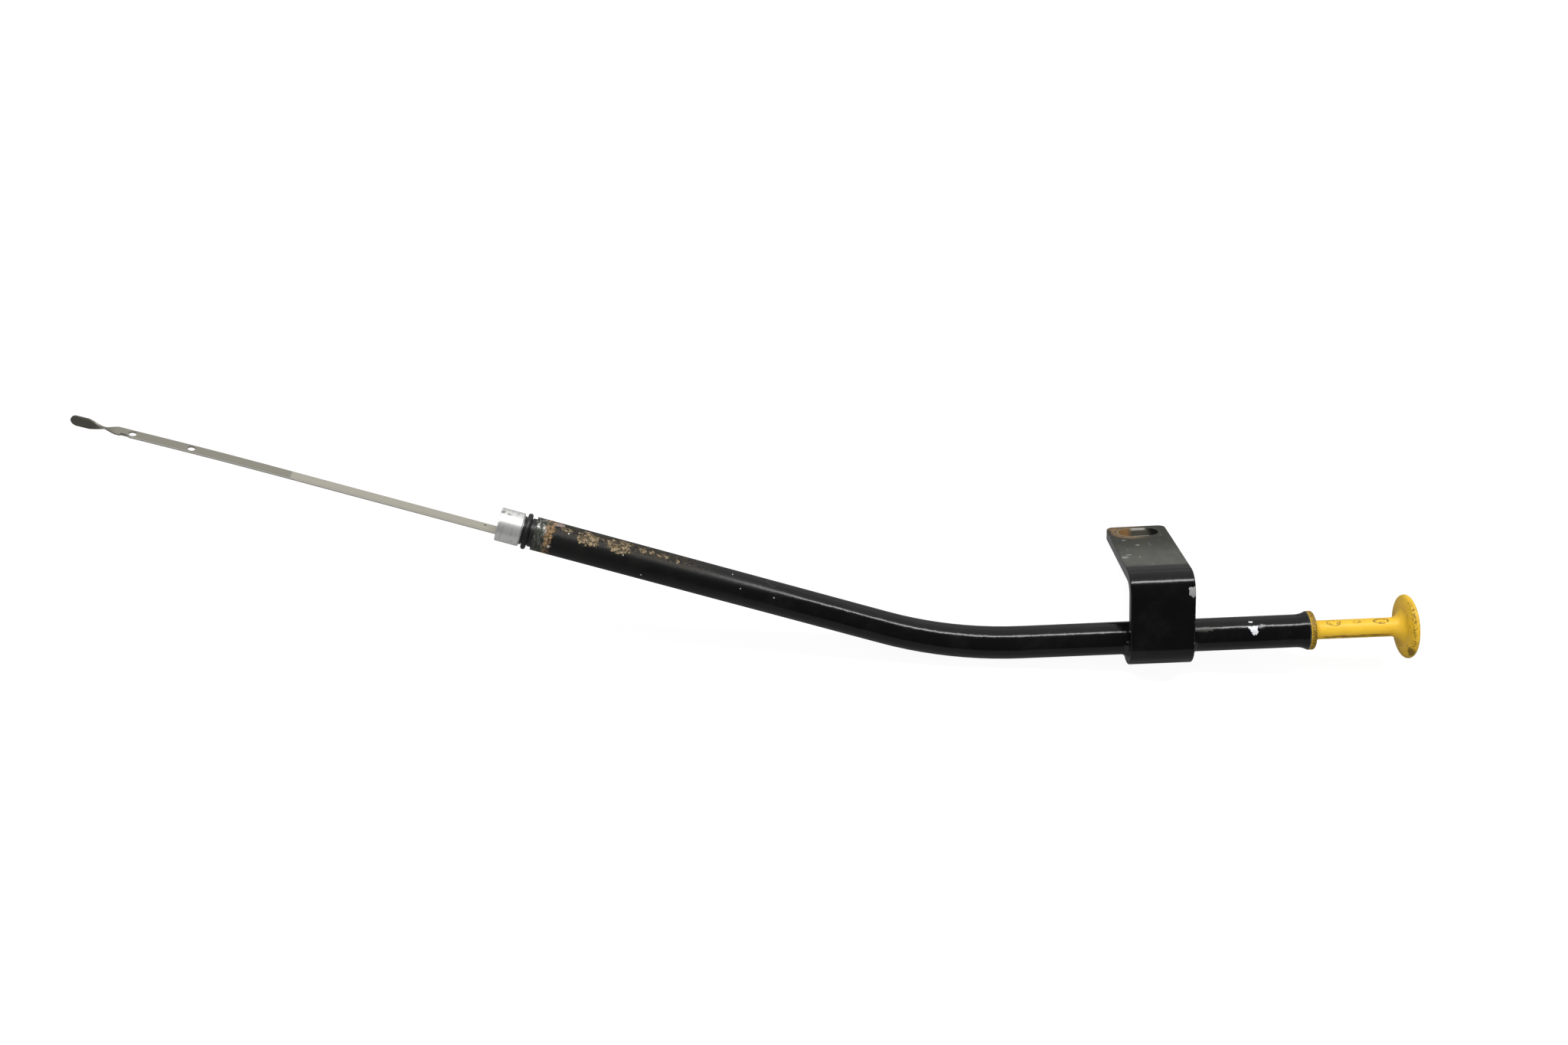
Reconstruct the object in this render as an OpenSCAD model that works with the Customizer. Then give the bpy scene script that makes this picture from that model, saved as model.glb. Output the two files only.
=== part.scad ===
/* [Guide tube] */
// Outside diameter of the steel guide tube
tube_d = 12; // [11:0.5:13]
// Wall thickness of the guide tube
tube_wall = 1; // [0.8:0.1:1.2]
// Radius of the dogleg bend, measured to the tube's centre line
bend_r = 130; // [90:5:150]
// Angle between the two straight legs of the tube
bend_angle = 22.7; // [15:0.1:30]
// Length of the upper leg, from the corner of the centre lines to the mouth
upper_len = 128.8; // [125:0.1:160]
// Length of the lower leg, from the same corner to the tube's lower end
lower_len = 157.5; // [120:0.5:200]
// Axial length of the flare at the mouth
flare_len = 4; // [3.5:0.1:4.5]
// Radius of the flare's curve, seen from outside
flare_r = 8; // [7.5:0.5:12]

/* [Bracket] */
// Width of the strap that the bracket is folded from
strap_w = 22.8; // [20:0.1:26]
// Thickness of the strap
strap_t = 3.8; // [3:0.1:4.2]
// From the corner of the centre lines to the near edge of the bracket
strap_x = 64.3; // [50:0.1:80]
// Height of the flange's outer face above the tube's axis
flange_h = 27; // [22:0.5:35]
// Reach of the flange behind the tube's axis
flange_reach = 47; // [40:0.5:60]
// Outer radius of the fold between face and flange
fold_r = 8; // [6:0.5:10]
// How far the strap wraps round the tube
wrap_angle = 180; // [120:5:180]
// Angle of the bracket about the tube, from the plane of the bend
clock_angle = 18.5; // [0:0.5:40]
// Length of the bolt slot, end to end
slot_len = 15; // [12:0.5:16]
// Width of the bolt slot
slot_w = 9; // [7:0.5:9]
// Metal left between the slot and the end of the flange
slot_land = 2.6; // [2:0.1:6]
// Size of the brazed fillets that join bracket and tube
bead = 2.2; // [1.5:0.1:2.6]

/* [End fitting] */
// Length of the fitting's head, which plugs into the engine block
head_len = 8.4; // [7:0.1:12]
// Length of the neck between head and tube
neck_len = 4.4; // [4:0.1:6]
// Diameter of the neck
neck_d = 10.2; // [10:0.1:10.6]
// Diameter of the seal's groove in the neck
groove_d = 9.5; // [9.2:0.1:9.6]
// Clear bore through the fitting
fitting_bore = 8; // [7.6:0.1:8.2]
// How far the fitting is pressed into the tube
shank_len = 8; // [5:0.5:12]
// Outside diameter of the seal ring on the neck
seal_d = 13; // [12.6:0.1:13.4]

/* [Blade] */
// Width of the blade
blade_w = 4; // [3.4:0.1:4.2]
// Thickness of the blade
blade_t = 0.6; // [0.4:0.1:0.8]
// From the corner of the centre lines to the blade's tip
blade_len = 315.7; // [280:0.5:360]
// Length of the flat tip beyond the twist
tip_len = 5.9; // [5:0.1:10]
// Length of the quarter twist behind the tip
twist_len = 9.2; // [7:0.1:12]
// Diameter of the two level holes
level_hole_d = 2.5; // [1.5:0.1:2.6]
// From the tip to the lower level hole
low_hole_at = 20.3; // [19:0.1:30]
// Distance between the two level holes
level_gap = 19.5; // [10:0.5:30]
// Radius of the outward bow that handling has put in the blade's end
bow_r = 1500; // [800:50:3000]
// Length of blade that the bow takes up
bow_len = 40; // [20:0.5:60]
// Straight length left between the bow and the tip
bow_from_tip = 25.7; // [25:0.1:30]

/* [Handle] */
// Diameter of the knob
knob_d = 23.1; // [20:0.1:28]
// Thickness of the knob
knob_t = 3.6; // [3:0.1:6]
// Width of the margin over which the knob thins to its rim
knob_margin = 4; // [3:0.1:5]
// Height of the domed end of the knob
dome_h = 0.6; // [0.4:0.1:2]
// Diameter of the stem
stem_d = 6.9; // [6.4:0.1:9]
// Length of the stem, from collar to knob
stem_len = 31.3; // [24:0.1:45]
// Diameter of the collar that seats on the mouth
collar_d = 14.1; // [13.6:0.1:14.2]
// Thickness of the collar
collar_t = 2.1; // [2:0.1:3]
// Length of the plug inside the mouth
plug_len = 14; // [12:0.5:18]

/* [Rest] */
// Roll of the part about its upper leg, as it lies on a flat floor
rest_roll = -19.4; // [-30:0.1:-15]
// Rise of the upper leg from the floor, as the part rocks on its bend
rest_pitch = 5.5; // [0:0.1:15]
// Turn about the vertical that lays the length along X
rest_turn = 5; // [0:0.1:10]
// Place of the centre-line corner along X, from the middle of the footprint
rest_x = 69.7; // [0:0.1:100]
// Place of that corner along Y
rest_y = -27.8; // [-40:0.1:40]
// Height of that corner above the floor
rest_z = 4.14; // [0:0.1:20]

/* [Hidden] */
$fn = 96;
eps = 0.01;
bore_past = 2;              // overrun of every cutting tool
lap = 0.02;                 // how far a straight length runs into a bent or twisted one
skin = 0.01;                // how much fuller a bent or twisted length is on each side
tube_r = tube_d / 2;
bore_r = tube_r - tube_wall;
tangent = bend_r * tan(bend_angle / 2);
flare_at = upper_len - flare_len;
edge_r = 0.6;               // rolled edge of the strap's outer face
strap_out = tube_r + strap_t;
flange_corner_r = 3;
plug_d = 2 * bore_r - 0.8;
squeeze = 0.05;             // how much each seal is flattened on its seat
neck_cord = (seal_d - groove_d) / 2 + squeeze;
plug_cord = 1.8;
side_play = 0.5;            // room beside a seal in its groove
seal_at = lower_len + 2.55;  // middle of the seal on the neck
plug_seal_at = 8;           // from the mouth to the plug seal's middle
plug_groove_r = bore_r - plug_cord + 3 * squeeze;
wall_play = 0.05;           // between the blade's corners and the fitting's bore
blade_drop = sqrt(pow(fitting_bore / 2 - wall_play, 2) - pow(blade_w / 2, 2)) - blade_t / 2;
blade_corner = blade_drop / cos(bend_angle);         // how far outside the tube's corner its runs meet
blade_slope = atan(blade_corner / upper_len);        // of its upper run, from the mouth's middle
blade_turn = bend_angle + blade_slope;
blade_root = 8;             // how far the blade runs up inside the handle
key_hole_d = 1.8;           // hole near the root, filled by the moulding
nick_len = 2.8;             // dent in the blade's edge by the lower hole
nick_deep = 0.4;
nick_from_hole = 0.6;
bow_turn = bow_len / bow_r * 180 / PI;
bow_at = blade_len - bow_from_tip - bow_len;
twist_steps = 24;

// Turned piece: the outline's x is a radius and its y a station along X
module turned() {
    rotate([0, 90, 0]) rotate_extrude() children();
}

// Outline of a full disc or ring slice between two stations
module slice(y0, y1, r0, r1) {
    translate([r0, y0]) square([r1 - r0, y1 - y0]);
}

// Concave corner of radius r, filling the first quadrant next to the origin
module fillet_2d(r) {
    difference() {
        square(r);
        translate([r, r]) circle(r = r);
    }
}

// Axes of the lower leg: X runs out along it, Z points to the outside of the bend
module on_lower_leg() {
    rotate([0, 180 + bend_angle, 0]) children();
}

// Sweep of an outline round a bend that starts along X; its x is measured from the bend's centre
module round_bend(turn) {
    translate([bend_r * tan(turn / 2), 0, bend_r]) rotate([90, 0, 0]) rotate([0, 0, -90 - turn])
        rotate_extrude(angle = turn, $fn = 240) children();
}

// Straight length of the tube's wall, ending at this station
module wall_slice(end) {
    translate([bore_r, end]) mirror([0, 1]) square([tube_wall, end - tangent + lap]);
}

// Wall of the flared mouth, a ring sector of constant thickness
module flare_2d() {
    intersection() {
        translate([tube_r + flare_r, flare_at]) difference() {
            circle(r = flare_r + tube_wall);
            circle(r = flare_r);
        }
        translate([0, flare_at]) square([tube_r + flare_r, flare_len]);
    }
}

module guide_tube() {
    color("#17191a") {
        turned() {
            wall_slice(flare_at);
            flare_2d();
        }
        round_bend(bend_angle) translate([bend_r, 0]) difference() {
            circle(r = tube_r + skin);
            circle(r = bore_r - skin);
        }
        on_lower_leg() turned() wall_slice(lower_len);
    }
}

// Axes of the bracket: X runs behind the tube, Y up the face, Z across the strap
module on_bracket() {
    rotate([-clock_angle, 0, 0]) translate([strap_x, 0, 0]) rotate([90, 0, 90]) children();
}

// Section of the strap, its outer face at x = strap_t with rolled edges
module strap_2d() {
    square([strap_t - edge_r, strap_w]);
    translate([0, edge_r]) square([strap_t, strap_w - 2 * edge_r]);
    for (y = [edge_r, strap_w - edge_r]) translate([strap_t - edge_r, y]) circle(r = edge_r);
}

// Straight run of strap towards -Y
module strap_run(len) {
    rotate([90, 0, 0]) linear_extrude(len) strap_2d();
}

// Fold of the strap about Z, with this inner radius
module strap_fold(inner, angle) {
    rotate_extrude(angle = angle) translate([inner, 0]) strap_2d();
}

// Slot and rounded corners, cut through the flange
module flange_cuts() {
    slot_x = flange_reach - slot_land - slot_w / 2;
    half = (slot_len - slot_w) / 2;
    translate([slot_x, flange_h - strap_t - bore_past, strap_w / 2]) rotate([-90, 0, 0]) {
        for (z = [-half, half]) translate([0, z, 0]) cylinder(h = strap_t + 2 * bore_past, d = slot_w);
        translate([-slot_w / 2, -half, 0]) cube([slot_w, 2 * half, strap_t + 2 * bore_past]);
    }
    for (side = [0, 1]) translate([flange_reach, 0, side * strap_w]) mirror([0, 0, side])
        rotate([-90, 0, 0]) rotate([0, 0, 180]) corner_cut();
}

// What a rounded corner takes away, above the origin's first quadrant
module corner_cut() {
    linear_extrude(flange_h + bore_past) difference() {
        translate([-eps, -eps]) square(flange_corner_r + eps);
        translate([flange_corner_r, flange_corner_r]) circle(r = flange_corner_r);
    }
}

module bracket() {
    face_len = flange_h - fold_r;
    fold_x = fold_r - strap_out;
    color("#151617") on_bracket() difference() {
        union() {
            rotate([0, 0, 180]) strap_fold(tube_r, wrap_angle);
            translate([-tube_r, face_len, 0]) mirror([1, 0, 0]) strap_run(face_len);
            translate([fold_x, face_len, 0]) rotate([0, 0, 90]) strap_fold(fold_r - strap_t, 90);
            translate([fold_x, flange_h - strap_t, 0]) rotate([0, 0, 90])
                strap_run(flange_reach - fold_x);
        }
        flange_cuts();
    }
}

// Brazed fillet round the tube, on the side of the strap that faces -Z
module braze_bead() {
    rotate([0, 0, 168]) rotate_extrude(angle = wrap_angle)
        translate([tube_r, 0]) mirror([0, 1]) fillet_2d(bead);
}

module left_braze_bead() {
    color("#141516") on_bracket() braze_bead();
}

module right_braze_bead() {
    color("#141516") on_bracket() translate([0, 0, strap_w]) mirror([0, 0, 1]) braze_bead();
}

module end_fitting() {
    head_r = tube_r;
    shoulder = lower_len + neck_len;
    chamfer = 0.4;
    color("#c4c7c9") on_lower_leg() turned() difference() {
        union() {
            slice(lower_len - shank_len, lower_len, 0, bore_r);
            slice(lower_len, shoulder, 0, neck_d / 2);
            slice(shoulder + chamfer, shoulder + head_len - chamfer, 0, head_r);
            slice(shoulder, shoulder + head_len, 0, head_r - chamfer);
            for (y = [shoulder + chamfer, shoulder + head_len - chamfer])
                translate([head_r - chamfer, y]) circle(r = chamfer);
        }
        slice(lower_len - shank_len - eps, shoulder + head_len + eps, -eps, fitting_bore / 2);
        groove_2d(seal_at, neck_cord, groove_d / 2);
    }
}

// Groove that takes a ring seal of this thickness
module groove_2d(at, cord, floor_r) {
    half = (cord + side_play) / 2;
    slice(at - half, at + half, floor_r, tube_d);
}

// Section of a ring seal, seated flat on its groove and on the wall outside it
module seal_2d(at, cord, floor_r, wall_r) {
    intersection() {
        translate([floor_r - squeeze + cord / 2, at]) circle(d = cord);
        slice(at - cord, at + cord, floor_r, wall_r);
    }
}

module fitting_seal() {
    color("#111213") on_lower_leg() turned() seal_2d(seal_at, neck_cord, groove_d / 2, tube_d);
}

module mouth_seal() {
    color("#111213") turned()
        seal_2d(upper_len - plug_seal_at, plug_cord, plug_groove_r, bore_r);
}

// Straight run of blade from one station to another along X
module blade_strip(x0, x1) {
    translate([x0, -blade_w / 2, -blade_t / 2]) cube([x1 - x0, blade_w, blade_t]);
}

// Section of the blade where it is bent or twisted
module full_section() {
    square([blade_t + 2 * skin, blade_w + 2 * skin], center = true);
}

// Quarter turn of the blade about X, from the origin on
module blade_twist() {
    rotate([0, 90, 0]) linear_extrude(height = twist_len, twist = -90, slices = twist_steps, $fn = 8)
        full_section();
}

// Flat rounded tip, standing on edge beyond the twist
module blade_tip() {
    rotate([90, 0, 0]) translate([0, 0, -blade_t / 2]) linear_extrude(blade_t) {
        translate([-lap, -blade_w / 2]) square([tip_len - blade_w / 2 + lap, blade_w]);
        translate([tip_len - blade_w / 2, 0]) circle(d = blade_w);
    }
}

// Axes of the blade's upper run: X points to the mouth, and the origin is where its two runs meet
module on_upper_run() {
    translate([0, 0, -blade_corner]) rotate([0, -blade_slope, 0]) children();
}

// From the bend up to the root inside the handle
module upper_blade() {
    root = (upper_len + blade_root) / cos(blade_slope);
    on_upper_run() difference() {
        blade_strip(bend_r * tan(blade_turn / 2) - lap, root);
        translate([root - key_hole_d, 0, -bore_past]) cylinder(h = 2 * bore_past, d = key_hole_d);
    }
}

// Axes of the blade's straight end beyond the bow: X points to the tip, which is at bow_from_tip
module on_bowed_end() {
    translate([bow_at + bow_r * sin(bow_turn), 0, bow_r * (1 - cos(bow_turn))])
        rotate([0, -bow_turn, 0]) children();
}

// The bow, swept about a centre far outside the blade
module blade_bow() {
    translate([bow_at, 0, bow_r]) rotate([90, 0, 0]) rotate([0, 0, -90])
        rotate_extrude(angle = bow_turn, $fn = 720) translate([bow_r, 0]) full_section();
}

// Hole through the blade at this station, which shows the oil's level
module level_hole(at) {
    translate([at, 0, -bore_past]) cylinder(h = 2 * bore_past, d = level_hole_d);
}

// Straight end with the lower hole, the nick, the twist and the tip
module blade_end() {
    twist_at = bow_from_tip - tip_len - twist_len;
    hole_at = bow_from_tip - low_hole_at;
    difference() {
        blade_strip(-lap, twist_at + lap);
        level_hole(hole_at);
        translate([hole_at + nick_from_hole, -blade_w / 2 - eps, -bore_past])
            cube([nick_len, nick_deep + eps, 2 * bore_past]);
    }
    translate([twist_at, 0, 0]) blade_twist();
    translate([twist_at + twist_len, 0, 0]) blade_tip();
}

// From the bend to the tip
module lower_blade() {
    bend_end = bend_r * tan(blade_turn / 2) - blade_corner * sin(bend_angle);
    on_lower_leg() translate([0, 0, blade_drop]) {
        blade_strip(bend_end - lap, bow_at + lap);
        difference() {
            blade_bow();
            level_hole(blade_len - low_hole_at - level_gap);
        }
        on_bowed_end() blade_end();
    }
}

module blade() {
    color("#a9a698") {
        upper_blade();
        on_upper_run() round_bend(blade_turn) translate([bend_r, 0]) full_section();
        lower_blade();
    }
}

// Knob: a disc that thins through its margin to a round rim, with a shallow domed end
module knob_2d(y) {
    rim_r = 1.2;
    flat_r = knob_d / 2 - knob_margin;
    margin_r = (pow(knob_margin, 2) + pow(knob_t / 2, 2) - 2 * rim_r * knob_margin) / (knob_t - 2 * rim_r);
    meets_rim = flat_r + (knob_margin - rim_r) * margin_r / (margin_r - rim_r);
    dome_r = (pow(flat_r, 2) + pow(dome_h, 2)) / (2 * dome_h);
    slice(y, y + knob_t, 0, flat_r + eps);
    intersection() {
        slice(y, y + knob_t, flat_r, meets_rim);
        translate([flat_r, y + margin_r]) circle(r = margin_r, $fn = 360);
        translate([flat_r, y + knob_t - margin_r]) circle(r = margin_r, $fn = 360);
    }
    translate([knob_d / 2 - rim_r, y + knob_t / 2]) circle(r = rim_r);
    intersection() {
        translate([0, y + knob_t + dome_h - dome_r]) circle(r = dome_r, $fn = 360);
        slice(y + knob_t - eps, y + knob_t + dome_h, 0, flat_r);
    }
}

// Plug with its seal groove, the part of the handle inside the mouth
module plug_2d() {
    lead = 1;
    seal_at = upper_len - plug_seal_at;
    difference() {
        union() {
            slice(upper_len - plug_len + lead, upper_len, 0, plug_d / 2);
            slice(upper_len - plug_len, upper_len, 0, plug_d / 2 - lead);
            translate([plug_d / 2 - lead, upper_len - plug_len + lead]) circle(r = lead);
        }
        groove_2d(seal_at, plug_cord, plug_groove_r);
    }
}

module handle_2d() {
    collar_r = collar_d / 2;
    collar_top = upper_len + collar_t;
    lip = 0.6;
    base_fillet = 2.3;
    knob_fillet = 4;
    knob_y = collar_top + stem_len;
    plug_2d();
    slice(upper_len, collar_top, 0, collar_r - lip);
    slice(upper_len + lip, collar_top - lip, 0, collar_r);
    for (y = [upper_len + lip, collar_top - lip]) translate([collar_r - lip, y]) circle(r = lip);
    slice(collar_top - eps, knob_y + eps, 0, stem_d / 2);
    translate([stem_d / 2 - eps, collar_top - eps]) fillet_2d(base_fillet);
    translate([stem_d / 2 - eps, knob_y + eps]) mirror([0, 1]) fillet_2d(knob_fillet);
    knob_2d(knob_y);
}

module handle() {
    color("#e0b63c") difference() {
        turned() handle_2d();
        upper_blade();
    }
}

// The part as it comes to rest on a flat floor at z = 0
module at_rest() {
    translate([rest_x, rest_y, rest_z]) rotate([rest_roll, -rest_pitch, rest_turn]) children();
}

at_rest() guide_tube();
at_rest() bracket();
at_rest() left_braze_bead();
at_rest() right_braze_bead();
at_rest() end_fitting();
at_rest() fitting_seal();
at_rest() blade();
at_rest() handle();
at_rest() mouth_seal();
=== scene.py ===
import math

import bmesh
import bpy
from bpy.props import FloatProperty, FloatVectorProperty, PointerProperty
from mathutils import Matrix, Vector, noise


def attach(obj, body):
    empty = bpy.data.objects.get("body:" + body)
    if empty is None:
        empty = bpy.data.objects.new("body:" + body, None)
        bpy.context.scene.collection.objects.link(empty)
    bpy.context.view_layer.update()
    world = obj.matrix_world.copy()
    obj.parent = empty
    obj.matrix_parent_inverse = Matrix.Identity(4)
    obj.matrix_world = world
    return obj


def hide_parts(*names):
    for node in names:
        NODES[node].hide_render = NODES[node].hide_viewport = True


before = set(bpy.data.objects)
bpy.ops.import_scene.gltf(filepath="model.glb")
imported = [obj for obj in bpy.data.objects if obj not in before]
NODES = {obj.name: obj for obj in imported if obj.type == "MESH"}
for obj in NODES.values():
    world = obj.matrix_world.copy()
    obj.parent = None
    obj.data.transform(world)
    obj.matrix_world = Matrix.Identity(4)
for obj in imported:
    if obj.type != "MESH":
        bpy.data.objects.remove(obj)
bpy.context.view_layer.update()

bl_info = {
    "name": "Engine oil dipstick",
    "version": (1, 0, 0),
    "blender": (4, 5, 0),
    "location": "View3D > Sidebar > Dipstick",
    "description": "Finishes, braze beads, camera and stage for an engine oil dipstick in its guide tube",
    "category": "Object",
}

MM = 0.001

# How the part lies on the floor, and where its legs and bracket stand. Lengths in mm, angles in degrees.
REST_PLACE = (69.70, -27.80, 4.14)
REST_ROLL, REST_PITCH, REST_TURN = -19.4, 5.5, 5.0
BEND_ANGLE = 22.7
CLOCK_ANGLE = 18.5
STRAP_X = 64.3
STRAP_WIDTH = 22.8
MOUTH = 128.8
TUBE_RADIUS = 6.0
STEM_RADIUS = 3.45
FLANGE_HEIGHT = 27.0
SLOT_MIDDLE = 39.9
SLOT_HALF_RUN = 3.0
SLOT_RADIUS = 4.5


def turned(degrees, axis):
    return Matrix.Rotation(math.radians(degrees), 4, axis)


# Axes of the upper leg: X runs to the knob. Those of the lower leg: X runs to the blade's tip, Z to the
# outside of the bend. Those of the bracket: X runs behind the tube, Y up its face, Z across the strap.
UPPER_LEG = (
    Matrix.Translation(Vector(REST_PLACE) * MM)
    @ turned(REST_TURN, "Z")
    @ turned(-REST_PITCH, "Y")
    @ turned(REST_ROLL, "X")
)
LOWER_LEG = UPPER_LEG @ turned(180 + BEND_ANGLE, "Y")
BRACKET = (
    UPPER_LEG
    @ turned(-CLOCK_ANGLE, "X")
    @ Matrix.Translation((STRAP_X * MM, 0, 0))
    @ turned(90, "Z")
    @ turned(90, "X")
)


def colour(name, description, default):
    return FloatVectorProperty(
        name=name, description=description, default=default, subtype="COLOR", min=0, max=1
    )


def share(name, description, default, high=1.0):
    return FloatProperty(
        name=name, description=description, default=default, min=0, max=high, subtype="FACTOR"
    )


def angle(name, description, degrees, low, high):
    default, low, high = (math.radians(value) for value in (degrees, low, high))
    return FloatProperty(
        name=name, description=description, default=default, min=low, max=high, subtype="ANGLE"
    )


def power(name, description, default):
    return FloatProperty(name=name, description=description, default=default, min=0, max=200, unit="POWER")


class DipstickColours(bpy.types.PropertyGroup):
    paint: colour("Paint", "Black enamel of tube and bracket", (0.0040, 0.0040, 0.0043))
    haze: colour("Haze", "Dust and scuffs on the enamel", (0.055, 0.057, 0.047))
    rust_pale: colour("Pale rust", "Dry flaking rust", (0.42, 0.32, 0.20))
    rust_dark: colour("Dark rust", "Old rust close to the metal", (0.10, 0.072, 0.036))
    rust_orange: colour("Orange rust", "Fresh rust at the paint's edge and by the slot", (0.30, 0.135, 0.042))
    # Bare steel, also used as a painted highlight on the upward side of the tube's bare end.
    bare: colour("Bare steel", "Steel where the paint ends or has chipped", (0.46, 0.46, 0.44))
    grime: colour("Grime", "Oily film on bare steel", (0.045, 0.049, 0.038))
    chip: colour("Chip", "Bright chips through the enamel", (0.78, 0.79, 0.83))
    aluminium: colour("Aluminium", "Turned end fitting", (0.90, 0.90, 0.885))
    blade: colour("Blade", "Spring steel of the blade", (0.47, 0.445, 0.38))
    film: colour("Oil film", "Dark film towards the blade's tip", (0.079, 0.078, 0.060))
    plastic: colour("Plastic", "Yellow moulded handle", (0.87, 0.545, 0.036))
    plastic_deep: colour("Deep plastic", "Darker clouds in the handle's yellow", (0.69, 0.385, 0.030))
    # Soil colour, also used for the painted shade where the handle meets the mouth.
    soil: colour("Soil", "Oily dirt on the handle", (0.080, 0.042, 0.004))
    rubber: colour("Rubber", "Seal rings", (0.010, 0.010, 0.010))


class DipstickMarks(bpy.types.PropertyGroup):
    rust_dust: colour("Rust dust", "Fine rust between the flakes on the lower leg", (0.12, 0.098, 0.060))
    hairline: colour("Hairline", "Curved scratch in the enamel", (0.075, 0.075, 0.07))
    primer: colour("Primer", "Pinkish undercoat by the tube's lower end", (0.29, 0.225, 0.195))
    droplet: colour("Droplets", "Dried droplets on the lower leg", (0.58, 0.58, 0.55))
    speck: colour("Specks", "Pale specks all over the tube", (0.22, 0.22, 0.20))
    # Worn lip, lightened also as a painted highlight where the mouth's rim catches the light.
    lip: colour("Worn lip", "Edge of the tube's mouth", (0.16, 0.155, 0.13))
    # Colour of the flange near its bend; it runs darker towards the slot.
    scuff_pale: colour("Pale scuff", "Flange near its bend", (0.098, 0.098, 0.082))
    scuff_dark: colour("Dark scuff", "Flange near its slot", (0.044, 0.045, 0.034))
    rubbing: colour("Rubbing", "Lines rubbed along the flange", (0.16, 0.16, 0.15))
    nick: colour("Nicks", "Nicks in the flange", (0.24, 0.24, 0.23))
    grain: colour("Grains", "Single pale grains on the bracket", (0.5, 0.5, 0.48))
    rust_crumb: colour("Crumbling rust", "Palest rust round the slot", (0.40, 0.28, 0.17))
    polish: colour("Polish", "Where a washer sat round the slot", (0.30, 0.27, 0.21))
    crust_pale: colour("Pale crust", "Light rust on the slot's wall", (0.46, 0.28, 0.11))
    crust_dark: colour("Dark crust", "Dark rust on the slot's wall", (0.27, 0.13, 0.04))
    wall: colour("Slot wall", "Oily steel of the slot's wall", (0.105, 0.105, 0.08))
    # Painted highlight: light caught along the top of the slot's far wall.
    wall_bright: colour("Bright wall", "Clean steel on the slot's far wall", (0.72, 0.71, 0.63))
    # Painted shade at the slot's right end.
    wall_dark: colour("Dark wall", "Grime at the slot's right end", (0.012, 0.012, 0.010))
    edge_chip: colour("Edge chip", "Large chip on the strap's right edge", (0.46, 0.46, 0.45))
    edge_worn: colour("Worn edge", "Paint worn off the strap's right edge", (0.30, 0.28, 0.23))
    stain: colour("Stain", "Stain on the aluminium", (0.36, 0.34, 0.30))
    smudge: colour("Smudge", "Dark smudges on the aluminium", (0.12, 0.115, 0.11))
    # Near-black colour of the neck between the fitting's head and the tube, on both sides of the seal.
    neck: colour("Neck", "Oily neck under the seal", (0.02, 0.02, 0.02))
    rubber_dust: colour("Rubber dust", "Dust on the seal rings", (0.045, 0.043, 0.04))
    drawing: colour("Drawing lines", "Lines drawn along the blade", (0.30, 0.28, 0.23))
    # Painted shade: a dark line beside the blade's edge.
    groove: colour("Groove", "Dark line beside the blade's edge", (0.16, 0.15, 0.12))
    # Painted highlight along both edges of the blade.
    blade_edge: colour("Blade's edge", "Bright edges of the blade", (0.72, 0.71, 0.66))
    pit: colour("Pits", "Dark pits and dents in the blade", (0.03, 0.028, 0.02))


class DipstickWear(bpy.types.PropertyGroup):
    rust: share("Rust", "How far the rust has spread on the lower leg", 0.5)
    speckle: share("Speckle", "How many pale specks lie on the enamel", 0.5)
    soil: share("Soil", "How dirty the handle is", 0.6)
    peel: share("Peel", "Depth of the enamel's ripple", 0.45)


class DipstickBeads(bpy.types.PropertyGroup):
    size: FloatProperty(
        name="Size", description="Leg of each braze bead", default=2.15 * MM, min=MM, max=2.2 * MM,
        unit="LENGTH", precision=5,
    )
    lumps: share("Lumps", "How much the bead's size varies along it", 0.30)
    start: angle("Start", "Angle round the tube at which a bead starts", 168, 0, 360)
    sweep: angle("Sweep", "Angle that a bead runs round the tube", 180, 60, 180)


class DipstickStage(bpy.types.PropertyGroup):
    lens: FloatProperty(
        name="Lens", description="Focal length of the camera", default=31.64, min=10, max=200, unit="CAMERA"
    )
    key: power("Key", "Power of the strip lamp overhead", 13.0)
    side: power("Side", "Power of the soft lamp beside the camera", 6.0)
    fill: share("Fill", "Level of the light from all round", 0.40, 2.0)
    backdrop: share("Backdrop", "Level at which gloss shows the pale backdrop", 0.68, 2.0)
    room: share("Room", "Level at which gloss shows the room in front", 0.04, 2.0)
    floor: colour("Floor", "Floor's own colour", (0.20, 0.20, 0.20))
    floor_glow: share("Floor glow", "What the floor shows on top of its own colour", 0.90, 2.0)
    floor_gloss: share("Floor in gloss", "Share of the floor's glow that gloss shows", 0.10)


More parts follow.
